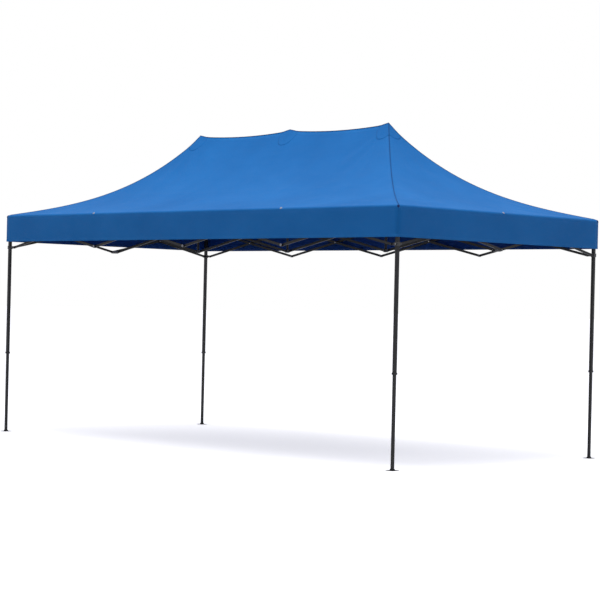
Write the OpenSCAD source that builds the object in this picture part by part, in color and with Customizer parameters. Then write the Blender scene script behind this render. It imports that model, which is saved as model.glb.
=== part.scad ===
// Pop up gazebo, 3 m by 6 m: four telescopic legs, a folding scissor truss frame and a hip canopy.
// Origin: on the ground under the centre. +X runs along the long side, +Z is up. Millimetres.

/* [Frame] */
// Distance between leg axes along the short side
leg_span_y = 3000; // [2800:10:3200]
// Distance from a leg axis to the first pivot of the short side truss
ear_y = 38; // [36:1:44]
// Height of the lower pivots of the trusses
low_z = 2100; // [2080:5:2110]
// Height of the upper pivots of the trusses
up_z = 2420; // [2410:5:2425]

/* [Tubes] */
// Side of the square upper leg tube
leg_out = 30; // [29:1:31]
// Side of the square lower leg tube
leg_in = 25; // [23:1:25]
// Wall of the leg tubes
leg_wall = 1.5; // [1.2:0.1:1.6]
// Height of a scissor bar's section
bar_h = 24; // [20:1:24]
// Thickness of a scissor bar's section
bar_t = 12; // [10:1:12]
// Wall of a scissor bar
bar_wall = 1.2; // [1:0.1:1.5]
// Radius of a peak pole
pole_r = 12.5; // [11:0.5:12.5]

/* [Legs] */
// Height of the lower end of the upper leg tube
step_z = 889; // [880:1:895]
// Top of the lower leg tube inside the upper one
lower_top_z = 1240; // [1150:10:1300]
// Side of the square foot plate
foot_side = 90; // [80:1:100]
// Radius of the two peg holes in a foot plate
peg_r = 5.5; // [4:0.5:6]

/* [Canopy] */
// How far the canopy stands out from the leg axes
overhang = 30; // [28:1:40]
// Height of the eave
eave_z = 2464; // [2460:1:2480]
// Height of the valance below the eave
valance_h = 300; // [250:5:320]
// Height of the three tops of the ridge
peak_z = 3410; // [3300:10:3450]
// Share of the roof's height that rises evenly; the rest curves up towards the ridge
roof_even = 0.38; // [0.3:0.02:0.6]
// Sag of the ridge between two poles
ridge_sag = 32; // [0:1:60]
// Thickness of the cloth
cloth_t = 2.5; // [2:0.1:3]

/* [Hidden] */
ear_x = 2 * ear_y;
bay = leg_span_y / 2 - ear_y;
leg_span_x = 4 * bay + 2 * ear_x;
leg_x = leg_span_x / 2;
leg_y = leg_span_y / 2;
truss_h = up_z - low_z;
bar_len = sqrt(bay * bay + truss_h * truss_h);
bar_angle = atan2(truss_h, bay);
bar_over = 10;          // tube past the last pivot
plug_len = 20;
plug_gap = 0.1;
pin_r = 3;
pin_gap = 0.06;
head_r = 6;
head_t = 1.6;
side_gap = 0.6;         // between a bar and the face beside it
off = bar_t / 2 + 1;    // bar plane from its truss plane
hub_half = 17;
pole_off = hub_half + 1 + bar_t / 2;
hub_half_z = 17;
hub_pin_y = pole_off - bar_t / 2 - side_gap;
bracket_half = 20;
bracket_wall_gap = 0.4;
slider_half_z = 18;
cap_t = 5;
cap_below_eave = 12;    // underside of the leg's cap below the eave
top_ring_low = 16;      // top bracket's ring below its pivots
collar_half = 19;
collar_h = 20;
knob_r = 6;
knob_out = 24;          // knob's end from the leg axis
button_r = 7;
button_gap = 0.3;
button_boss = 3;        // ring round the button
button_boss_y = bracket_half + 6;
button_out = bracket_half + 9;
button_tip = 1;
pole_wall = 1.2;
pole_gap = 0.5;         // between a pole and its sleeve
pole_top_below = 34;    // straight end of the pole below the roof's top
foot_t = 4;
foot_socket_half = 17;
foot_socket_top = 16;
peg_share = 0.32;       // peg hole's place, as a share of the plate's side
$fn = 48;

SIDES_X = [["left", -1], ["right", 1]];
SIDES_Y = [["front", -1], ["back", 1]];
COLUMNS = [["left", -1], ["centre", 0], ["right", 1]];

module y_cylinder(r, y0, y1) {
    translate([0, min(y0, y1), 0]) rotate([-90, 0, 0]) cylinder(r = r, h = abs(y1 - y0));
}

// A rivet through both bars of a truss whose bars lie in the planes y = +half and y = -half
module rivet(half) {
    out = half + bar_t / 2 + side_gap / 2;
    between = half - bar_t / 2 - side_gap / 2;
    color("gray") {
        y_cylinder(pin_r, -out - head_t / 2, out + head_t / 2);
        y_cylinder(head_r, out, out + head_t);
        y_cylinder(head_r, -out - head_t, -out);
        y_cylinder(head_r, -between, between);
    }
}

module pin_holes() {
    for (x = [0, bar_len / 2, bar_len])
        translate([x, 0, 0]) y_cylinder(pin_r + pin_gap, -bar_t, bar_t);
}

// A scissor bar along +X from its first pivot at the origin: a flat tube with a plug in each end
module bar() {
    difference() {
        translate([-bar_over, -bar_t / 2, -bar_h / 2]) cube([bar_len + 2 * bar_over, bar_t, bar_h]);
        translate([-bar_over - 1, -bar_t / 2 + bar_wall, -bar_h / 2 + bar_wall])
            cube([bar_len + 2 * bar_over + 2, bar_t - 2 * bar_wall, bar_h - 2 * bar_wall]);
        pin_holes();
    }
    difference() {
        for (x = [-bar_over, bar_len + bar_over - plug_len])
            translate([x, -bar_t / 2 + bar_wall + plug_gap, -bar_h / 2 + bar_wall + plug_gap])
                cube([plug_len, bar_t - 2 * (bar_wall + plug_gap), bar_h - 2 * (bar_wall + plug_gap)]);
        pin_holes();
    }
}

// The bar of one bay, in the truss's own frame: along +X from the bay's first column
module bay_bar(rises, half, first_pin, last_pin) {
    color("#26272b") translate([0, rises ? half : -half, rises ? low_z : up_z])
        rotate([0, rises ? -bar_angle : bar_angle, 0]) bar();
    if (rises) {
        translate([bay / 2, 0, (low_z + up_z) / 2]) rivet(half);
        if (first_pin) translate([0, 0, low_z]) rivet(half);
        if (last_pin) translate([bay, 0, up_z]) rivet(half);
    }
}

module long_bar(sy, b, rises) {
    translate([(b - 3) * bay, sy * leg_y, 0]) bay_bar(rises, off, b > 1, b < 4);
}

module side_bar(sx, b, rises) {
    translate([sx * leg_x, (b - 2) * bay, 0]) rotate([0, 0, 90]) bay_bar(rises, off, false, false);
}

module centre_bar(b, rises) {
    translate([(b - 3) * bay, 0, 0]) bay_bar(rises, pole_off, false, false);
}

// A stub pin through one bar, along +Y if way is 1: it grows from the face y = root, and the bar
// starts side_gap past y = from
module stub_pin(way, from, root) {
    end = from + side_gap + bar_t + side_gap;
    y_cylinder(head_r, way * (root - 1), way * (from + side_gap / 2));
    y_cylinder(pin_r, way * (root - 1), way * (end + head_t / 2));
    y_cylinder(head_r, way * end, way * (end + head_t));
}

// An ear beside one bar's end: the pivot at the origin, the bar on the side given, the body at x = reach
module lug(side, reach) {
    way = sign(reach);
    translate([0, -side * off, 0]) {
        y_cylinder(bar_h / 2, -bar_t / 2, bar_t / 2);
        translate([way > 0 ? 0 : reach, -bar_t / 2, -bar_h / 2]) cube([abs(reach), bar_t, bar_h]);
    }
    mirror([0, side < 0 ? 1 : 0, 0]) stub_pin(1, off - bar_t / 2 - side_gap, bar_t / 2 - off);
}

// Both ears of a corner part at the leg axis; upper is true at the top bracket, false at the slider
module corner_ears(sx, sy, upper) {
    turn = upper ? 1 : -1;
    translate([-sx * ear_x, 0, 0]) lug(sx * turn, sx * (ear_x - bracket_half + 1));
    translate([0, -sy * ear_y, 0]) rotate([0, 0, 90]) lug(sy * turn, sy * (ear_y - bracket_half + 1));
}

module square_tube(side, wall, z0, z1) {
    difference() {
        translate([-side / 2, -side / 2, z0]) cube([side, side, z1 - z0]);
        translate([-side / 2 + wall, -side / 2 + wall, z0 - 1])
            cube([side - 2 * wall, side - 2 * wall, z1 - z0 + 2]);
    }
}

module square_ring(half, hole, z0, z1) {
    difference() {
        translate([-half, -half, z0]) cube([2 * half, 2 * half, z1 - z0]);
        translate([-hole, -hole, z0 - 1]) cube([2 * hole, 2 * hole, z1 - z0 + 2]);
    }
}

module upper_leg(sx, sy) {
    cap_z = eave_z - cap_below_eave;
    translate([sx * leg_x, sy * leg_y, 0]) {
        color("#26272b") square_tube(leg_out, leg_wall, step_z, cap_z);
        // top bracket with its two ears, and the cap that closes the tube
        color("#9a9b9d") {
            translate([0, 0, up_z]) corner_ears(sx, sy, true);
            square_ring(bracket_half, leg_out / 2, up_z - top_ring_low, cap_z);
            translate([-bracket_half, -bracket_half, cap_z]) cube([2 * bracket_half, 2 * bracket_half, cap_t]);
        }
        // collar at the lower end, with the height lock's knob
        color("#1d1e20") {
            square_ring(collar_half, leg_out / 2, step_z - 1, step_z - 1 + collar_h);
            translate([0, 0, step_z + collar_h / 2 - 1])
                y_cylinder(knob_r, sy * (collar_half - 0.5), sy * knob_out);
        }
    }
}

module slider(sx, sy) {
    hole = leg_out / 2 + bracket_wall_gap;
    translate([sx * leg_x, sy * leg_y, low_z]) color("#9a9b9d") {
        corner_ears(sx, sy, false);
        difference() {
            union() {
                square_ring(bracket_half, hole, -slider_half_z, slider_half_z);
                y_cylinder(button_r + button_boss, sy * (bracket_half - 2), sy * button_boss_y);
            }
            y_cylinder(button_r + button_gap, sy * (hole - 1), sy * (button_boss_y + 1));
        }
    }
}

module slider_button(sx, sy) {
    translate([sx * leg_x, sy * leg_y, low_z]) color("#1d1e20") {
        y_cylinder(button_r, sy * (bracket_half - 0.4), sy * button_out);
        y_cylinder(button_r - 1.5, sy * (button_out - 1), sy * (button_out + button_tip));
    }
}

module lower_leg(sx, sy) {
    translate([sx * leg_x, sy * leg_y, 0]) color("#26272b") {
        square_tube(leg_in, leg_wall, foot_socket_top, lower_top_z);
        difference() {
            translate([-foot_side / 2, -foot_side / 2, 0]) cube([foot_side, foot_side, foot_t]);
            for (k = [-1, 1])
                translate([k * foot_side * peg_share, k * foot_side * peg_share, -1])
                    cylinder(r = peg_r, h = foot_t + 2);
        }
        translate([-foot_socket_half, -foot_socket_half, foot_t])
            cube([2 * foot_socket_half, 2 * foot_socket_half, foot_socket_top - foot_t]);
    }
}

// Sleeve that slides on a peak pole and carries the upper ends of the centre bars
module pole_hub(column) {
    translate([column * bay, 0, up_z]) color("#9a9b9d") {
        difference() {
            translate([-hub_half, -hub_half, -hub_half_z]) cube([2 * hub_half, 2 * hub_half, 2 * hub_half_z]);
            translate([0, 0, -hub_half_z - 1]) cylinder(r = pole_r + pole_gap, h = 2 * hub_half_z + 2);
        }
        for (way = [-1, 1]) stub_pin(way, hub_pin_y, hub_half);
    }
}

module peak_pole(column) {
    tube_z = peak_z - pole_top_below;
    translate([column * bay, 0, 0]) {
        color("#9a9b9d") translate([0, 0, low_z]) {
            translate([-hub_half, -hub_half, -hub_half_z]) cube([2 * hub_half, 2 * hub_half, 2 * hub_half_z]);
            for (way = [-1, 1]) stub_pin(way, hub_pin_y, hub_half);
        }
        color("#26272b") translate([0, 0, low_z + hub_half_z]) difference() {
            cylinder(r = pole_r, h = tube_z - low_z - hub_half_z);
            translate([0, 0, -1]) cylinder(r = pole_r - pole_wall, h = tube_z - low_z - hub_half_z + 2);
        }
        color("#1d1e20") translate([0, 0, tube_z]) rotate_extrude()
            intersection() {
                translate([0, -1]) circle(r = pole_r);
                square([pole_r, pole_r]);
            }
    }
}

// Hub in the middle of a short side: one pin through that side's bars, one for the centre bars
module side_hub(sx, z, upper) {
    inner_x = leg_x - off - bar_t / 2 - 1;
    pin_x = leg_x - ear_x;
    bar_side = (upper ? 1 : -1) * sx;
    outer = off + bar_t / 2 + side_gap;
    color("#9a9b9d") {
        translate([sx > 0 ? pin_x - 10 : -inner_x, -hub_half, z - hub_half_z])
            cube([inner_x - pin_x + 10, 2 * hub_half, 2 * hub_half_z]);
        translate([sx * leg_x, 0, z]) rotate([0, 0, sx * 90]) {
            y_cylinder(pin_r, -outer - head_t / 2, off + bar_t / 2 + 2);
            y_cylinder(head_r, -outer - head_t, -outer);
        }
        translate([sx * pin_x, 0, z]) stub_pin(bar_side, hub_pin_y, hub_half);
    }
}

half_l = leg_x + overhang;
half_w = leg_y + overhang;
peak_x = bay;

// 0 at the eave and 1 at the ridge, on the plan of a hip roof
function rise_at(x, y) =
    max(0, min((half_w - abs(y)) / half_w, (half_l - abs(x)) / (half_l - peak_x), 1));
// 0 over a pole and 1 halfway between two poles
function between_poles(x) = abs(x) >= peak_x ? 0 : 4 * (abs(x) / peak_x) * (1 - abs(x) / peak_x);
function profile(u) = roof_even * u + (1 - roof_even) * pow(u, 3);
function roof_z(x, y) =
    eave_z + (peak_z - eave_z) * profile(rise_at(x, y))
    - ridge_sag * between_poles(x) * pow(rise_at(x, y), 3);

slope_steps = 9;
ridge_steps = 5;
end_xs = [for (i = [0:slope_steps]) half_l - (half_l - peak_x) * i / slope_steps];
mid_xs = [for (i = [1:ridge_steps]) peak_x - peak_x * i / ridge_steps];
right_xs = concat(end_xs, mid_xs);
roof_xs = concat([for (x = right_xs) -x], [for (i = [len(right_xs) - 2:-1:0]) right_xs[i]]);
roof_ys = [for (i = [-slope_steps:slope_steps]) half_w * i / slope_steps];

// The roof cloth: two grids of points, joined round the edge
module roof_cloth() {
    nx = len(roof_xs);
    ny = len(roof_ys);
    count = nx * ny;
    points = [
        for (t = [0, cloth_t]) for (x = roof_xs) for (y = roof_ys) [x, y, roof_z(x, y) - t]
    ];
    cells = [for (i = [0:nx - 2]) for (j = [0:ny - 2]) [i, j]];
    // the diagonal of each cell follows the hips
    top = [
        for (c = cells)
            let (a = c[0] * ny + c[1], b = a + ny, d = a + 1, e = b + 1,
                 along = (roof_xs[c[0]] + roof_xs[c[0] + 1]) * (roof_ys[c[1]] + roof_ys[c[1] + 1]) > 0)
            each (along ? [[a, d, e], [a, e, b]] : [[a, d, b], [d, e, b]])
    ];
    under = [for (f = top) [f[2] + count, f[1] + count, f[0] + count]];
    rim = concat(
        [for (i = [0:nx - 1]) i * ny],
        [for (j = [1:ny - 1]) (nx - 1) * ny + j],
        [for (i = [nx - 2:-1:0]) i * ny + ny - 1],
        [for (j = [ny - 2:-1:1]) j]
    );
    edge = [
        for (k = [0:len(rim) - 1])
            let (p = rim[k], q = rim[(k + 1) % len(rim)])
            each [[p, q, q + count], [p, q + count, p + count]]
    ];
    polyhedron(points = points, faces = concat(top, under, edge), convexity = 8);
}

module canopy() {
    top = eave_z - cloth_t;
    color("#2f72bd") {
        roof_cloth();
        for (k = [-1, 1]) {
            translate([-half_l, k > 0 ? half_w - cloth_t : -half_w, top - valance_h + cloth_t])
                cube([2 * half_l, cloth_t, valance_h - cloth_t]);
            translate([k > 0 ? half_l - cloth_t : -half_l, cloth_t - half_w, top - valance_h + cloth_t])
                cube([cloth_t, 2 * (half_w - cloth_t), valance_h - cloth_t]);
        }
    }
}

canopy();
for (k = COLUMNS) {
    pole_hub(k[1]);
    peak_pole(k[1]);
}
for (s = SIDES_X) {
    side_hub(s[1], up_z, true);
    side_hub(s[1], low_z, false);
}
for (d = ["rise", "fall"]) {
    for (b = [1:4]) {
        centre_bar(b, d == "rise");
        for (s = SIDES_Y)
            long_bar(s[1], b, d == "rise");
    }
    for (b = [1:2]) for (s = SIDES_X)
        side_bar(s[1], b, d == "rise");
}
for (s = SIDES_Y) for (t = SIDES_X) {
    upper_leg(t[1], s[1]);
    slider(t[1], s[1]);
    slider_button(t[1], s[1]);
    lower_leg(t[1], s[1]);
}
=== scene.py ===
"""Looks of the pop up gazebo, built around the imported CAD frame. Metres, the same frame as the CAD."""

import math

import bmesh
import bpy
from mathutils import Matrix, Vector, noise
from mathutils.bvhtree import BVHTree


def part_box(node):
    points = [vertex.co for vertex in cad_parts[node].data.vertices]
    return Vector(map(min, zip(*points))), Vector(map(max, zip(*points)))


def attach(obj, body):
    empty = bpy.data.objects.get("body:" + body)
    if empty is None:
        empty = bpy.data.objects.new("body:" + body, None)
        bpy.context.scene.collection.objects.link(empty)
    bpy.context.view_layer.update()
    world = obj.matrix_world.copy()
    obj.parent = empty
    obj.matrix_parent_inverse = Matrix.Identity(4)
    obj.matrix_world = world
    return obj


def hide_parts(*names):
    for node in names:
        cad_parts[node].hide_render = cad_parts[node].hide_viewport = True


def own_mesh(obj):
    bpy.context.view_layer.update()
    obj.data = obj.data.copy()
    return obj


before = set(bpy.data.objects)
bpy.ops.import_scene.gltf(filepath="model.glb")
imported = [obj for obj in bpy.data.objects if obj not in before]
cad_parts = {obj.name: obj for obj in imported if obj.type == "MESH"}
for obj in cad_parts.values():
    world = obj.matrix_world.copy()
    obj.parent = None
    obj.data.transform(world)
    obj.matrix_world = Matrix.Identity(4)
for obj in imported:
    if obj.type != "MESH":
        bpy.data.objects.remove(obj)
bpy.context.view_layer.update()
ROOT = "roof_centre"

# ---------------------------------------------------------------- places, from the frame
canopy_low, canopy_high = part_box("canopy")
HALF_L, HALF_W = canopy_high.x, canopy_high.y
PEAK_Z = canopy_high.z
VALANCE_Z = canopy_low.z
pole_low, pole_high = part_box("peak_pole_right")
PEAK_X = (pole_low.x + pole_high.x) / 2
BAY = PEAK_X
EAR_X, EAR_Y = 0.076, 0.038      # from a leg's axis to its pivots, along and across the gazebo
LEG_X, LEG_Y = 2 * BAY + EAR_X, BAY + EAR_Y
# each corner's row and side, with the signs of its x and y
CORNERS = [
    (row, side, sx, sy)
    for row, sy in (("front", -1), ("back", 1))
    for side, sx in (("left", -1), ("right", 1))
]
VALANCE = 0.30
EAVE_Z = VALANCE_Z + VALANCE
HUB_HALF = 0.017
LOW_Z = pole_low.z + HUB_HALF                                           # the lower pivots
UP_Z = sum(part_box("pole_hub_right")[k].z for k in (0, 1)) / 2           # the upper pivots

# ---------------------------------------------------------------- node helpers


def new_material(name, base, rough, metallic=0.0):
    material = bpy.data.materials.new(name)
    material.use_nodes = True
    shader = material.node_tree.nodes["Principled BSDF"]
    shader.inputs["Base Color"].default_value = (*base, 1)
    shader.inputs["Roughness"].default_value = rough
    shader.inputs["Metallic"].default_value = metallic
    return material, shader


class Nodes:
    """A short way to write a material's nodes."""

    def __init__(self, material):
        self.tree = material.node_tree

    def add(self, kind, **values):
        node = self.tree.nodes.new(kind)
        for key, value in values.items():
            setattr(node, key, value)
        return node

    def link(self, a, b):
        self.tree.links.new(a, b)

    def coordinate(self, scale=(1, 1, 1)):
        place = self.add("ShaderNodeTexCoord")
        mapping = self.add("ShaderNodeMapping")
        mapping.inputs["Scale"].default_value = scale
        self.link(place.outputs["Object"], mapping.inputs["Vector"])
        return mapping.outputs["Vector"]

    def noise(self, scale, detail=3.0, stretch=(1, 1, 1)):
        node = self.add("ShaderNodeTexNoise")
        node.inputs["Scale"].default_value = scale
        node.inputs["Detail"].default_value = detail
        self.link(self.coordinate(stretch), node.inputs["Vector"])
        return node.outputs["Fac"]

    def ramp(self, value, low, high, start=0.3, end=0.7):
        node = self.add("ShaderNodeValToRGB")
        node.color_ramp.elements[0].position = start
        node.color_ramp.elements[0].color = (*low, 1)
        node.color_ramp.elements[1].position = end
        node.color_ramp.elements[1].color = (*high, 1)
        self.link(value, node.inputs["Fac"])
        return node.outputs["Color"]

    def span(self, value, low, high, start=0.0, end=1.0):
        node = self.add("ShaderNodeMapRange")
        node.inputs["From Min"].default_value = start
        node.inputs["From Max"].default_value = end
        node.inputs["To Min"].default_value = low
        node.inputs["To Max"].default_value = high
        self.link(value, node.inputs["Value"])
        return node.outputs["Result"]

    def math(self, operation, a, b):
        node = self.add("ShaderNodeMath", operation=operation)
        for socket, value in zip(node.inputs, (a, b)):
            if isinstance(value, (int, float)):
                socket.default_value = value
            else:
                self.link(value, socket)
        return node.outputs[0]

    def mix(self, mask, a, b):
        node = self.add("ShaderNodeMix", data_type="RGBA")
        self.link(mask, node.inputs["Factor"])
        for socket, value in ((node.inputs[6], a), (node.inputs[7], b)):
            if isinstance(value, tuple):
                socket.default_value = (*value, 1)
            else:
                self.link(value, socket)
        return node.outputs[2]

    def bump(self, height, strength, distance, shader):
        node = self.add("ShaderNodeBump")
        node.inputs["Strength"].default_value = strength
        node.inputs["Distance"].default_value = distance
        self.link(height, node.inputs["Height"])
        self.link(node.outputs["Normal"], shader.inputs["Normal"])


def axis_value(nodes, axis):
    """One coordinate of the point in the row frame at rest."""
    split = nodes.add("ShaderNodeSeparateXYZ")
    nodes.link(nodes.coordinate(), split.inputs["Vector"])
    return split.outputs[axis]


# ---------------------------------------------------------------- materials


STITCH_LENGTH = 0.006
STITCH_HALF = 0.0006    # half a thread's width
STITCH_SHARE = -0.35    # of the sine, above which the thread shows
THREAD_SCALE = 160.0    # of the weave's wave textures
WEAVE_DEPTH = 0.05
STITCH_DEPTH = 0.06


def stitch_mask(nodes, rows):
    """1 on the threads of level rows of lock stitch, along either side of the canopy."""
    split = nodes.add("ShaderNodeSeparateXYZ")
    nodes.link(nodes.coordinate(), split.inputs["Vector"])
    along = nodes.math("ADD", split.outputs["X"], split.outputs["Y"])
    wave = nodes.math("SINE", nodes.math("MULTIPLY", along, 2 * math.pi / STITCH_LENGTH), 0.0)
    dash = nodes.math("GREATER_THAN", wave, STITCH_SHARE)
    near = None
    for row in rows:
        away = nodes.math("ABSOLUTE", nodes.math("SUBTRACT", split.outputs["Z"], row), 0.0)
        hit = nodes.math("LESS_THAN", away, STITCH_HALF)
        near = hit if near is None else nodes.math("MAXIMUM", near, hit)
    return nodes.math("MULTIPLY", dash, near)


def cloth(name, low, high, rough, sheen, rows=()):
    """Woven polyester: fine threads, slow colour drift, soft creases and rows of stitches."""
    material, shader = new_material(name, high, rough)
    nodes = Nodes(material)
    drift = nodes.noise(1.3, 4.0)
    colour = nodes.ramp(drift, low, high, 0.25, 0.75)
    crease = nodes.noise(5.0, 6.0, (1.0, 1.0, 2.2))
    nodes.link(nodes.span(crease, rough - 0.07, rough + 0.09), shader.inputs["Roughness"])
    threads = []
    for direction in ("X", "Y", "Z"):
        wave = nodes.add("ShaderNodeTexWave", bands_direction=direction)
        wave.inputs["Scale"].default_value = THREAD_SCALE
        wave.inputs["Distortion"].default_value = 0.6
        nodes.link(nodes.coordinate(), wave.inputs["Vector"])
        threads.append(wave.outputs["Fac"])
    woven = nodes.math("ADD", nodes.math("ADD", *threads[:2]), threads[2])
    weave = nodes.math("MULTIPLY", woven, WEAVE_DEPTH)
    height = nodes.math("ADD", crease, weave)
    if rows:
        mask = stitch_mask(nodes, rows)
        colour = nodes.mix(mask, colour, THREAD)
        height = nodes.math("ADD", height, nodes.math("MULTIPLY", mask, STITCH_DEPTH))
    nodes.link(colour, shader.inputs["Base Color"])
    nodes.bump(height, 0.4, 0.007, shader)
    shader.inputs["Sheen Weight"].default_value = sheen
    shader.inputs["Sheen Roughness"].default_value = 0.45
    shader.inputs["Specular IOR Level"].default_value = 0.2
    return material


def powder_coat(nodes, shader, base, worn):
    """Fine orange peel with paler, rougher scuffs."""
    scuff = nodes.noise(26.0, 5.0, (1, 1, 0.3))
    colour = nodes.ramp(scuff, base, worn, 0.50, 0.95)
    nodes.link(nodes.span(nodes.noise(14.0, 5.0), 0.42, 0.62), shader.inputs["Roughness"])
    shader.inputs["Specular IOR Level"].default_value = 0.3
    nodes.bump(nodes.noise(900.0, 2.0), 0.22, 0.0006, shader)
    return colour


def frame_paint(name, plastic_above=None, plastic_below=None, axis=None, plane=0.0, steel_past=None):
    """Dark powder coat. Above plastic_above it is grey plastic, below the height in plastic_below it is
    plastic of the tone there, and past a distance from the truss plane it is the rivet heads' steel."""
    material, shader = new_material(name, (0.02, 0.02, 0.023), 0.42)
    nodes = Nodes(material)
    colour = powder_coat(nodes, shader, (0.006, 0.006, 0.0065), (0.03, 0.03, 0.031))
    grey = nodes.ramp(nodes.noise(60.0, 5.0), (0.27, 0.275, 0.28), (0.40, 0.405, 0.41))
    black = nodes.ramp(nodes.noise(60.0, 5.0), (0.011, 0.011, 0.012), (0.03, 0.03, 0.032))
    if plastic_above is not None:
        mask = nodes.math("GREATER_THAN", axis_value(nodes, "Z"), plastic_above)
        colour = nodes.mix(mask, colour, grey)
    if plastic_below is not None:
        height, tone = plastic_below
        mask = nodes.math("LESS_THAN", axis_value(nodes, "Z"), height)
        colour = nodes.mix(mask, colour, grey if tone == "grey" else black)
    if steel_past is not None:
        away = nodes.math("ABSOLUTE", axis_value(nodes, axis), 0.0)
        out = nodes.math("ABSOLUTE", nodes.math("SUBTRACT", away, plane), 0.0)
        mask = nodes.math("GREATER_THAN", out, steel_past)
        steel = nodes.ramp(nodes.noise(220.0, 4.0), (0.30, 0.30, 0.31), (0.55, 0.55, 0.56))
        colour = nodes.mix(mask, colour, steel)
        nodes.link(mask, shader.inputs["Metallic"])
    nodes.link(colour, shader.inputs["Base Color"])
    return material


def plastic(name, low, high):
    """Moulded nylon: fine spark-eroded grain and slightly uneven gloss."""
    material, shader = new_material(name, high, 0.5)
    nodes = Nodes(material)
    nodes.link(nodes.ramp(nodes.noise(55.0, 5.0), low, high), shader.inputs["Base Color"])
    nodes.link(nodes.span(nodes.noise(25.0, 4.0), 0.42, 0.62), shader.inputs["Roughness"])
    nodes.bump(nodes.noise(1400.0, 2.0), 0.25, 0.0005, shader)
    return material


def steel(name):
    material, shader = new_material(name, (0.6, 0.6, 0.61), 0.32, 1.0)
    nodes = Nodes(material)
    colour = nodes.ramp(nodes.noise(90.0, 6.0), (0.42, 0.42, 0.43), (0.68, 0.68, 0.69))
    nodes.link(colour, shader.inputs["Base Color"])
    nodes.link(nodes.span(nodes.noise(60.0, 5.0), 0.24, 0.44), shader.inputs["Roughness"])
    nodes.bump(nodes.noise(700.0, 3.0), 0.15, 0.0004, shader)
    return material


THREAD = (0.02, 0.22, 0.60)
# two rows over the hem and two under the eave
STITCH_ROWS = (VALANCE_Z + 0.021, VALANCE_Z + 0.025, EAVE_Z - 0.040, EAVE_Z - 0.046)
BRACKET_LOW_Z = UP_Z - 0.0165    # lower edge of the plastic top bracket
COLLAR_TOP_Z = 0.9085            # top of the plastic collar at the upper leg's foot
POLE_FOOT_Z = LOW_Z + 0.0171     # top of a peak pole's plastic lower hub
SIDE_STEEL = 0.0131              # a rivet head stands out past this from its truss plane
CENTRE_STEEL = 0.0301
CLOTH_OUT = cloth(
    "canopy_cloth_outside", (0.003, 0.152, 0.465), (0.009, 0.192, 0.555), 0.62, 0.0, STITCH_ROWS
)
# inside face: a darker tone, partly the coated underside and partly painted shade for the unlit inside
CLOTH_IN_COATED_SHADED = cloth("canopy_cloth_inside_coated_shaded", (0.006, 0.075, 0.36), (0.010, 0.095, 0.43), 0.62, 0.0)
BINDING = cloth("canopy_binding", (0.003, 0.085, 0.27), (0.006, 0.105, 0.33), 0.7, 0.0)
KNOT_THREAD = cloth("corner_thread", (0.004, 0.026, 0.12), (0.006, 0.036, 0.16), 0.7, 0.0)
WEBBING = cloth("black_webbing", (0.012, 0.012, 0.014), (0.03, 0.03, 0.034), 0.75, 0.2)
PLASTIC_GREY = plastic("bracket_plastic", (0.26, 0.265, 0.27), (0.38, 0.385, 0.39))
PLASTIC_DARK = plastic("slider_plastic", (0.018, 0.018, 0.019), (0.045, 0.045, 0.047))
STEEL = steel("bright_steel")
LEG_PAINT = frame_paint("leg_paint", plastic_above=BRACKET_LOW_Z, plastic_below=(COLLAR_TOP_Z, "black"))
LOWER_PAINT = frame_paint("lower_leg_paint")
POLE_PAINT = frame_paint("pole_paint", plastic_below=(POLE_FOOT_Z, "grey"))
LONG_PAINT = frame_paint("long_bar_paint", axis="Y", plane=LEG_Y, steel_past=SIDE_STEEL)
SIDE_PAINT = frame_paint("side_bar_paint", axis="X", plane=LEG_X, steel_past=SIDE_STEEL)
CENTRE_PAINT = frame_paint("centre_bar_paint", axis="Y", plane=0.0, steel_past=CENTRE_STEEL)


def dress(node, material):
    """Gives a CAD node its better material."""
    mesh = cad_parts[node].data
    mesh.materials.clear()
    mesh.materials.append(material)


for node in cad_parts:
    if node.startswith("upper_leg"):
        dress(node, LEG_PAINT)
    elif node.startswith("lower_leg"):
        dress(node, LOWER_PAINT)
    elif node.startswith("peak_pole"):
        dress(node, POLE_PAINT)
    elif node.startswith("slider_button") or "hub" in node:
        dress(node, PLASTIC_GREY)
    elif node.startswith("slider"):
        dress(node, PLASTIC_DARK)
    elif node.startswith("long"):
        dress(node, LONG_PAINT)
    elif node.startswith("side"):
        dress(node, SIDE_PAINT)
    elif node.startswith("centre"):
        dress(node, CENTRE_PAINT)

# ---------------------------------------------------------------- canopy

ROOF_EVEN = 0.38      # the same curve as the CAD canopy
RIDGE_SAG = 0.032
PEAK_LIFT = 0.014     # the cloth over a pole's round head
PEAK_REACH = 0.075
BASE_GAP = 0.001      # the cloth stays this far inside the CAD canopy at its top and hem
CLOTH_T = 0.0012
PATCH_T = 0.0008      # of patches and knots
EAVE_R = 0.026        # radius of the turn from roof to valance
ROOF_STEP_HIP = 56
ROOF_STEP_RIDGE = 48


def smooth(mesh):
    for face in mesh.faces:
        face.smooth = True


def skirt(mesh, inner, outer):
    """Faces between two closed loops, from the inner one out."""
    for k in range(len(inner)):
        q = (k + 1) % len(inner)
        mesh.faces.new((inner[k], outer[k], outer[q], inner[q]))


def bridge(mesh, a, b):
    """Faces between two closed sections of a strip."""
    for k in range(len(a)):
        q = (k + 1) % len(a)
        mesh.faces.new((a[k], a[q], b[q], b[k]))


def round_sheet(mesh, middle, rows):
    """Faces of a round sheet: a fan about its middle and rings round it."""
    count = len(rows[0])
    for t in range(count):
        mesh.faces.new((middle, rows[0][t], rows[0][(t + 1) % count]))
    for inner, outer in zip(rows, rows[1:]):
        skirt(mesh, inner, outer)


def rise_at(x, y):
    """How far up the roof a place is, from 0 at the edge to 1 at the ridge."""
    return max(0.0, min((HALF_W - abs(y)) / HALF_W, (HALF_L - abs(x)) / (HALF_L - PEAK_X), 1.0))


def between_poles(x):
    """1 halfway between two poles, 0 at a pole."""
    u = abs(x) / PEAK_X
    return 0.0 if u >= 1 else 4 * u * (1 - u)


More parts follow.
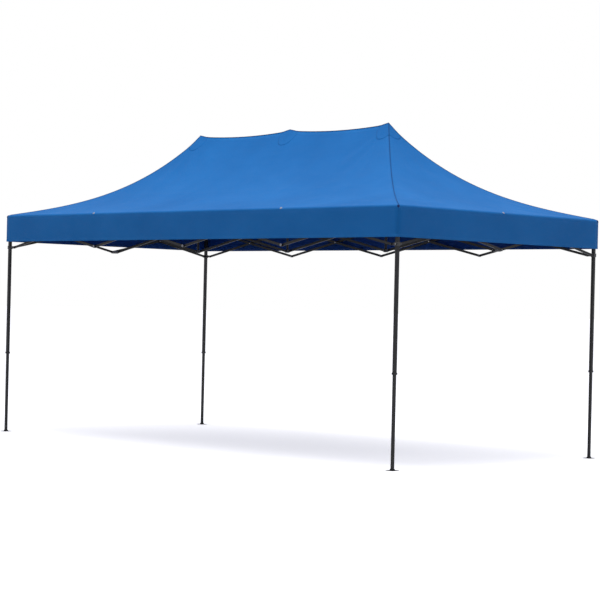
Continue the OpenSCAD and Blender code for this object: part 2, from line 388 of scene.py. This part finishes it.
def slack(x, y):
    """Small creases of slack cloth: strongest in the middle of each slope, none at seams and edges.
    The sizes are in metres."""
    u = rise_at(x, y)
    ends = (HALF_L - abs(x)) / (HALF_L - PEAK_X)
    sides = (HALF_W - abs(y)) / HALF_W
    from_hip = min(1.0, abs(ends - sides) * 3) if ends < 1 else 1.0
    calm = math.sin(math.pi * min(1.0, u)) * from_hip
    slow = noise.noise(Vector((x * 0.9, y * 0.9, 3.1))) * 0.020
    fine = noise.noise(Vector((x * 3.1 + y, y * 2.3 - x, 7.7))) * 0.007
    # faint fold lines left by packing, along and across the roof
    packed = math.exp(-(((abs(y) - 0.78) / 0.014) ** 2)) + math.exp(-(((abs(x) - 0.74) / 0.014) ** 2))
    # fans of creases that run in from the corners and down from the poles
    corner = math.hypot(HALF_L - abs(x), HALF_W - abs(y))
    fan = math.atan2(HALF_W - abs(y), HALF_L - abs(x))
    pull = math.sin(fan * 26 + 0.4 * math.sin(x * 5)) * 0.006 * math.exp(-(((corner - 0.55) / 0.38) ** 2))
    top = math.hypot(max(0.0, abs(abs(x) - PEAK_X)), abs(y))
    turn = math.atan2(y, abs(x) - PEAK_X)
    star = math.sin(turn * 11 + 1.3 * math.sin(x)) * 0.006 * math.exp(-(((top - 0.34) / 0.2) ** 2))
    return (slow + fine + 0.0035 * packed) * calm + (pull + star) * min(1.0, calm * 2)


def roof_z(x, y):
    u = rise_at(x, y)
    height = ROOF_EVEN * u + (1 - ROOF_EVEN) * u**3
    sag = RIDGE_SAG * between_poles(x) * u**3
    away = (abs(x) - PEAK_X if abs(x) > 0.5 * PEAK_X else x) ** 2 + y * y
    lift = PEAK_LIFT * math.exp(-away / PEAK_REACH**2)
    return EAVE_Z + (PEAK_Z - BASE_GAP - EAVE_Z) * height - sag + lift + slack(x, y)


def symmetric(values):
    """The grid lines from one edge to the middle, and mirrored to the other edge."""
    return [-v for v in values] + values[-2::-1]


def roof_grid():
    """Grid lines that run through the hips, the ridge, the poles and the rounded eave."""
    end, side = HALF_L - EAVE_R, HALF_W - EAVE_R
    n = ROOF_STEP_HIP
    xs = [end - (end - PEAK_X) * (i / n) for i in range(n + 1)]
    xs += [PEAK_X - PEAK_X * i / ROOF_STEP_RIDGE for i in range(1, ROOF_STEP_RIDGE + 1)]
    ys = [side - side * i / n for i in range(n + 1)]
    return symmetric(xs), symmetric(ys)


def valance_wave(s, depth):
    """How far the valance leans out at a place s along the edge, depth from 0 at the eave to 1 at the hem."""
    long_wave = 0.0045 * math.sin(s * 2.1 + 0.6) + 0.003 * noise.noise(Vector((s * 1.7, 2.0, 0.5)))
    return depth**1.4 * long_wave + depth * 0.0012 * math.sin(s * 13 + 2 * math.sin(s))


def canopy_mesh():
    xs, ys = roof_grid()
    mesh = bmesh.new()
    grid = [[mesh.verts.new((x, y, roof_z(x, y))) for y in ys] for x in xs]
    nx, ny = len(xs), len(ys)
    for i in range(nx - 1):
        for j in range(ny - 1):
            mesh.faces.new((grid[i][j], grid[i + 1][j], grid[i + 1][j + 1], grid[i][j + 1]))
    rim = [(i, 0) for i in range(nx)] + [(nx - 1, j) for j in range(1, ny)]
    rim += [(i, ny - 1) for i in range(nx - 2, -1, -1)] + [(0, j) for j in range(ny - 2, 0, -1)]
    starts = [grid[i][j] for i, j in rim]
    above = starts

    def outward(i, j):
        return Vector(((i == nx - 1) - (i == 0), (j == ny - 1) - (j == 0), 0))

    turn_rows = 7
    drop_rows = 12
    for row in range(1, turn_rows + drop_rows + 1):
        ring = []
        for (i, j), start in zip(rim, starts):
            way = outward(i, j)
            base = start.co
            if row <= turn_rows:
                angle = math.pi / 2 * row / turn_rows
                place = base + way * EAVE_R * math.sin(angle)
                place.z = base.z - EAVE_R * (1 - math.cos(angle))
            else:
                depth = (row - turn_rows) / drop_rows
                along = base.y if way.x else base.x
                side_length = HALF_W if way.x else HALF_L
                free = min(1.0, (side_length - abs(along)) / 0.5) if way.length < 1.1 else 0
                place = base + way * (EAVE_R + valance_wave(along + 3 * way.y + 7 * way.x, depth) * free)
                top = base.z - EAVE_R
                place.z = top + (VALANCE_Z + BASE_GAP - top) * depth
            ring.append(mesh.verts.new(place))
        skirt(mesh, above, ring)
        above = ring
    mesh.normal_update()
    smooth(mesh)
    return mesh


def link_mesh(name, mesh, *materials):
    data = bpy.data.meshes.new(name)
    mesh.to_mesh(data)
    mesh.free()
    piece = bpy.data.objects.new(name, data)
    bpy.context.scene.collection.objects.link(piece)
    for material in materials:
        data.materials.append(material)
    return piece


def apply_modifiers(piece):
    """Puts the modifiers' result into the mesh."""
    bpy.context.view_layer.update()
    seen = piece.evaluated_get(bpy.context.evaluated_depsgraph_get())
    data = bpy.data.meshes.new_from_object(seen)
    piece.modifiers.clear()
    piece.data = data
    return piece


def on_canopy(piece):
    """A canopy piece rides on the centre."""
    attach(piece, ROOT)
    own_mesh(piece)
    return piece


def thicken(piece, thickness):
    """Gives a sheet its thickness, inward."""
    skin = piece.modifiers.new("thickness", "SOLIDIFY")
    skin.thickness = thickness
    skin.offset = -1
    return skin


def make_canopy():
    mesh = canopy_mesh()
    mesh.faces.ensure_lookup_table()
    middle = max(mesh.faces, key=lambda f: f.calc_center_median().z)
    if middle.normal.z < 0:
        bmesh.ops.reverse_faces(mesh, faces=mesh.faces)
    piece = link_mesh("canopy_sheet", mesh, CLOTH_OUT, CLOTH_IN_COATED_SHADED)
    skin = thicken(piece, CLOTH_T)
    # the inside face takes the darker inside cloth, which is partly painted shade
    skin.material_offset = 1
    skin.material_offset_rim = 0
    apply_modifiers(piece)
    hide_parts("canopy")
    return on_canopy(piece)


def ribbon(name, points, up, width, thick, material):
    """A sewn band: a closed strip with a rounded back that follows points, with its back along up."""
    mesh = bmesh.new()
    rows = []
    count = len(points)
    half = width / 2
    shoulder = half * 0.82
    shape = (
        (-half, 0), (-shoulder, thick), (0, thick * 1.25), (shoulder, thick), (half, 0), (0, -thick * 0.4)
    )
    for k, p in enumerate(points):
        ahead = points[min(k + 1, count - 1)] - points[max(k - 1, 0)]
        side = ahead.cross(up).normalized()
        rows.append([mesh.verts.new(p + side * a + up * b) for a, b in shape])
    for a, b in zip(rows, rows[1:]):
        bridge(mesh, a, b)
    mesh.faces.new(rows[0][::-1])
    mesh.faces.new(rows[-1])
    bmesh.ops.recalc_face_normals(mesh, faces=mesh.faces)
    smooth(mesh)
    return link_mesh(name, mesh, material)


def make_seams():
    """The bound seams along the ridge and down the four hips."""
    width, thick, steps = 0.010, 0.0026, 60
    up = Vector((0, 0, 1))
    xs = [PEAK_X * (k / steps - 0.5) * 2 for k in range(steps + 1)]
    line = [Vector((x, 0, roof_z(x, 0))) for x in xs]
    on_canopy(ribbon("ridge_seam", line, up, width, thick, BINDING))
    end, edge = HALF_L - EAVE_R, HALF_W - EAVE_R
    for row, side, sx, sy in CORNERS:
        points = []
        for k in range(steps + 1):
            t = k / steps
            x, y = sx * (end - (end - PEAK_X) * t), sy * edge * (1 - t)
            points.append(Vector((x, y, roof_z(x, y))))
        on_canopy(ribbon(f"hip_seam_{row}_{side}", points, up, width, thick, BINDING))


def edge_loop(z, out, step=0.06):
    """Points round the canopy's edge at a height, with their outward normals, following the valance."""
    depth = max(0.0, (EAVE_Z - EAVE_R - z) / (EAVE_Z - EAVE_R - VALANCE_Z))
    points, normals = [], []
    for way, length in (((0, -1), HALF_L), ((1, 0), HALF_W), ((0, 1), HALF_L), ((-1, 0), HALF_W)):
        count = int(2 * length / step)
        for k in range(count):
            s = (2 * k / count - 1) * length * (1 if way[1] < 0 or way[0] > 0 else -1)
            free = min(1.0, (length - abs(s)) / 0.5)
            lean = valance_wave(s + 3 * way[1] + 7 * way[0], depth) * free + out
            if way[0]:
                points.append(Vector((way[0] * (HALF_L + lean), s, z)))
            else:
                points.append(Vector((s, way[1] * (HALF_W + lean), z)))
            normals.append(Vector((*way, 0)))
    return points, normals


def closed_band(name, z_low, z_high, out, thick, material):
    """A band sewn round the valance, as one closed strip."""
    mesh = bmesh.new()
    low, normals = edge_loop(z_low, out)
    high, _ = edge_loop(z_high, out)
    rows = []
    count = len(low)
    for k in range(count):
        n = (normals[k] + normals[k - 1]).normalized() if normals[k] != normals[k - 1] else normals[k]
        middle = (low[k] + high[k]) / 2
        edge = n * thick * 0.8
        section = (low[k], low[k] + edge, middle + n * thick, high[k] + edge, high[k])
        rows.append([mesh.verts.new(p) for p in section])
    for k in range(count):
        bridge(mesh, rows[k], rows[(k + 1) % count])
    bmesh.ops.recalc_face_normals(mesh, faces=mesh.faces)
    return link_mesh(name, mesh, material)


def make_hem():
    """The turned-up hem along the valance's lower edge."""
    low, high, thick = VALANCE_Z + BASE_GAP, VALANCE_Z + 0.027, 0.0008
    on_canopy(closed_band("valance_hem", low, high, 0.0, thick, CLOTH_OUT))


def disc(name, centre, normal, radius, thick, hole, material):
    """A ring with a rolled edge, such as an eyelet or a cap."""
    mesh = bmesh.new()
    crown = hole + (radius - hole) * 0.35
    profile = ((hole, 0), (hole, thick), (crown, thick * 1.5), (radius * 0.92, thick), (radius, 0))
    turn = Vector((0, 0, 1)).rotation_difference(Vector(normal)).to_matrix()
    steps = 28
    rows = []
    for k in range(steps):
        angle = 2 * math.pi * k / steps
        section = [turn @ Vector((r * math.cos(angle), r * math.sin(angle), h)) for r, h in profile]
        rows.append([mesh.verts.new(Vector(centre) + p) for p in section])
    for k in range(steps):
        skirt(mesh, rows[k], rows[(k + 1) % steps])
    bmesh.ops.recalc_face_normals(mesh, faces=mesh.faces)
    smooth(mesh)
    return link_mesh(name, mesh, material)


def eyelet(name, centre, normal):
    radius, thick, hole = 0.013, 0.0016, 0.0055
    on_canopy(disc(name, centre, normal, radius, thick, hole, STEEL))


def make_eyelets():
    """Bright eyelets on the turn of the eave, over the truss joints."""
    proud = 0.0004
    inward = EAVE_R * (1 - math.sin(math.pi / 4))
    z = roof_z(0, HALF_W - EAVE_R) - inward + proud
    slant = math.sqrt(0.5)
    for row, sy in (("front", -1), ("back", 1)):
        for side, x in (("left", -BAY), ("right", BAY)):
            place = (x, sy * (HALF_W - inward + proud), z)
            eyelet(f"eyelet_{row}_{side}", place, (0, sy * slant, slant))
    for side, sx in (("left", -1), ("right", 1)):
        eyelet(f"eyelet_end_{side}", (sx * (HALF_L - inward + proud), 0, z), (sx * slant, 0, slant))


def patch(name, centre_x, radius, surface):
    """A round second layer of cloth sewn over a pole head. It lies on the cloth's own mesh, and the
    underside of its rim runs just under it."""
    mesh = bmesh.new()
    lift, rim_lift = 0.0011, 0.0003
    turns, rings = 96, 14

    def point(r, angle, up):
        x, y = centre_x + r * math.cos(angle), r * math.sin(angle)
        hit = surface.ray_cast(Vector((x, y, PEAK_Z + 1)), Vector((0, 0, -1)))[0]
        return mesh.verts.new((x, y, hit.z + up))

    middle = point(0, 0, lift)
    rows = []
    for k in range(1, rings + 1):
        up = lift if k < rings else rim_lift
        rows.append([point(radius * k / rings, 2 * math.pi * t / turns, up) for t in range(turns)])
    round_sheet(mesh, middle, rows)
    smooth(mesh)
    piece = link_mesh(name, mesh, CLOTH_OUT)
    thicken(piece, PATCH_T)
    on_canopy(apply_modifiers(piece))


def make_patches(cloth_sheet):
    """Doubled cloth over each pole head."""
    data = cloth_sheet.data
    radius = 0.13
    surface = BVHTree.FromPolygons([v.co for v in data.vertices], [p.vertices[:] for p in data.polygons])
    for name, x in (("left", -PEAK_X), ("centre", 0.0), ("right", PEAK_X)):
        patch(f"pole_patch_{name}", x, radius, surface)


def make_corner_knots():
    """The round knot of stitching wrapped over each corner, where the hip meets the turn of the eave."""
    radius, thick, down, clear = 0.017, 0.0012, 0.032, 0.0002
    top = roof_z(HALF_L - EAVE_R, HALF_W - EAVE_R)
    turns, rings = 32, 6

    def point(mesh, sx, sy, along, s, out):
        """A point of the corner: along one side from it, and s down the turned edge."""
        angle = min(s / EAVE_R, math.pi / 2)
        inward = EAVE_R * (1 - math.sin(angle)) - out * math.sin(angle)
        z = top - EAVE_R * (1 - math.cos(angle)) - max(0.0, s - EAVE_R * math.pi / 2)
        z += out * math.cos(angle)
        x, y = HALF_L - inward - max(0.0, along), HALF_W - inward - max(0.0, -along)
        return mesh.verts.new((sx * x, sy * y, z))

    for row, side, sx, sy in CORNERS:
        mesh = bmesh.new()
        middle = point(mesh, sx, sy, 0, down, thick)
        rows = []
        for k in range(1, rings + 1):
            r = radius * k / rings
            out = thick * math.sqrt(max(0.0, 1 - (k / rings) ** 2)) + clear
            turned = [2 * math.pi * t / turns for t in range(turns)]
            rows.append([point(mesh, sx, sy, r * math.sin(a), down + r * math.cos(a), out) for a in turned])
        round_sheet(mesh, middle, rows)
        bmesh.ops.recalc_face_normals(mesh, faces=mesh.faces)
        middle.link_faces[0].normal_update()
        if middle.link_faces[0].normal.dot(Vector((sx, sy, 0.5))) < 0:
            bmesh.ops.reverse_faces(mesh, faces=mesh.faces)
        smooth(mesh)
        piece = link_mesh(f"corner_knot_{row}_{side}", mesh, KNOT_THREAD)
        thicken(piece, PATCH_T)
        on_canopy(apply_modifiers(piece))


def strap(name, body, centre, half, width, thick):
    """A webbing loop round a square tube."""
    mesh = bmesh.new()
    corner = 0.006
    chamfer = 0.002
    flat = half - corner
    path = []
    for start, (qx, qy) in zip((0, 90, 180, 270), ((1, 1), (-1, 1), (-1, -1), (1, -1))):
        for k in range(5):
            a = math.radians(start + 90 * k / 4)
            path.append((qx * flat + corner * math.cos(a), qy * flat + corner * math.sin(a)))
    section = ((0, -width / 2), (thick, -width / 2 + chamfer), (thick, width / 2 - chamfer), (0, width / 2))
    rows = []
    count = len(path)
    for k, (x, y) in enumerate(path):
        ahead = Vector(path[(k + 1) % count]) - Vector(path[k - 1])
        out = Vector((ahead.y, -ahead.x)).normalized()
        places = [Vector((x + out.x * offset, y + out.y * offset, z)) for offset, z in section]
        rows.append([mesh.verts.new(Vector(centre) + p) for p in places])
    for k in range(count):
        bridge(mesh, rows[k], rows[(k + 1) % count])
    bmesh.ops.recalc_face_normals(mesh, faces=mesh.faces)
    piece = link_mesh(name, mesh, WEBBING)
    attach(piece, body)


def make_straps():
    """A hook and loop strap round the top of each leg."""
    strap_z, tube_half, width, thick = 2.31, 0.0153, 0.038, 0.0022
    for row, side, sx, sy in CORNERS:
        place = (sx * LEG_X, sy * LEG_Y, strap_z)
        strap(f"leg_strap_{row}_{side}", f"upper_leg_{row}_{side}", place, tube_half, width, thick)


def make_joint_caps():
    """Light plastic caps on the lower joints of the long trusses."""
    radius, thick, hole = 0.014, 0.003, 0.0005
    face = 0.0152       # from the truss plane to the cap's seat
    for row, sy in (("front", -1), ("back", 1)):
        for bay, x in ((2, -BAY), (3, 0.0), (4, BAY)):
            body = f"long_{row}_bay{bay}_rise"
            for side, way in (("outer", sy), ("inner", -sy)):
                centre = (x, sy * LEG_Y + way * face, LOW_Z)
                name = f"joint_cap_{row}_bay{bay}_{side}"
                cap = disc(name, centre, (0, way, 0), radius, thick, hole, PLASTIC_GREY)
                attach(cap, body)


canopy_sheet = make_canopy()
make_seams()
make_hem()
make_eyelets()
make_patches(canopy_sheet)
make_corner_knots()
make_straps()
make_joint_caps()

# ---------------------------------------------------------------- stage


FLOOR_Z = -0.0005
FLOOR_HALF = 400
FLOOR_GLOW = 0.50        # keeps the shadow faint
WORLD_LIGHT = 1.0


def make_world():
    """Soft studio dome: white round the horizon, brightest overhead, dim below."""
    world = bpy.data.worlds.new("studio")
    world.use_nodes = True
    nodes = Nodes(world)
    place = nodes.add("ShaderNodeTexCoord")
    split = nodes.add("ShaderNodeSeparateXYZ")
    nodes.link(place.outputs["Generated"], split.inputs["Vector"])
    ramp = nodes.add("ShaderNodeValToRGB")
    low, white, side = (0.05, 0.05, 0.06), (1.0, 1.0, 1.0), (0.24, 0.25, 0.44)
    # from straight down at 0, past the horizon at 0.5, to straight up at 1
    stops = ((0.0, low), (0.465, low), (0.475, white), (0.59, white), (0.63, side), (1.0, white))
    ramp.color_ramp.elements[0].position = stops[0][0]
    ramp.color_ramp.elements[1].position = stops[-1][0]
    for position, _ in stops[1:-1]:
        ramp.color_ramp.elements.new(position)
    for element, (_, value) in zip(ramp.color_ramp.elements, stops):
        element.color = (*value, 1)
    nodes.link(nodes.span(split.outputs["Z"], 0.0, 1.0, -1.0, 1.0), ramp.inputs["Fac"])
    nodes.link(ramp.outputs["Color"], world.node_tree.nodes["Background"].inputs["Color"])
    world.node_tree.nodes["Background"].inputs["Strength"].default_value = WORLD_LIGHT
    bpy.context.scene.world = world


def make_stage():
    """A pale floor that glows a little and throws no diffuse light back on the gazebo."""
    floor_material, shader = new_material("pale_floor", (0.93, 0.93, 0.93), 0.85)
    nodes = Nodes(floor_material)
    colour = nodes.ramp(nodes.noise(0.8, 3.0), (0.90, 0.90, 0.90), (0.94, 0.94, 0.94))
    nodes.link(colour, shader.inputs["Base Color"])
    mesh = bmesh.new()
    bmesh.ops.create_grid(mesh, x_segments=2, y_segments=2, size=FLOOR_HALF)
    floor = link_mesh("floor", mesh, floor_material)
    floor.location.z = FLOOR_Z
    floor.visible_diffuse = False
    shader.inputs["Emission Color"].default_value = (1, 1, 1, 1)
    shader.inputs["Emission Strength"].default_value = FLOOR_GLOW


def area_light(name, place, target, size, power):
    data = bpy.data.lights.new(name, "AREA")
    data.shape = "DISK"
    data.size = size
    data.energy = power
    light = bpy.data.objects.new(name, data)
    bpy.context.scene.collection.objects.link(light)
    light.location = place
    light.rotation_euler = (Vector(target) - Vector(place)).to_track_quat("-Z", "Y").to_euler()


def make_camera():
    """Long lens, level, at chest height off the front right corner, with a slight roll."""
    data = bpy.data.cameras.new("camera")
    camera = bpy.data.objects.new("camera", data)
    bpy.context.scene.collection.objects.link(camera)
    data.sensor_width = 36
    data.lens = 117.2
    data.shift_x = -0.026
    data.shift_y = 0.012
    data.clip_end = 900
    yaw, roll = math.radians(134.9), math.radians(1.31)
    forward = Vector((math.cos(yaw), math.sin(yaw), 0))
    level = Vector((math.sin(yaw), -math.cos(yaw), 0))
    right = level * math.cos(roll) + Vector((0, 0, 1)) * math.sin(roll)
    up = right.cross(forward)
    turn = Matrix((right, up, -forward)).transposed().to_4x4()
    camera.matrix_world = Matrix.Translation((15.238, -14.835, 1.497)) @ turn
    bpy.context.scene.camera = camera


make_world()
make_stage()
area_light("key", (2, -3, 17), (0, 0, 2), 10, 900)
make_camera()
bpy.context.scene.view_settings.view_transform = "Standard"
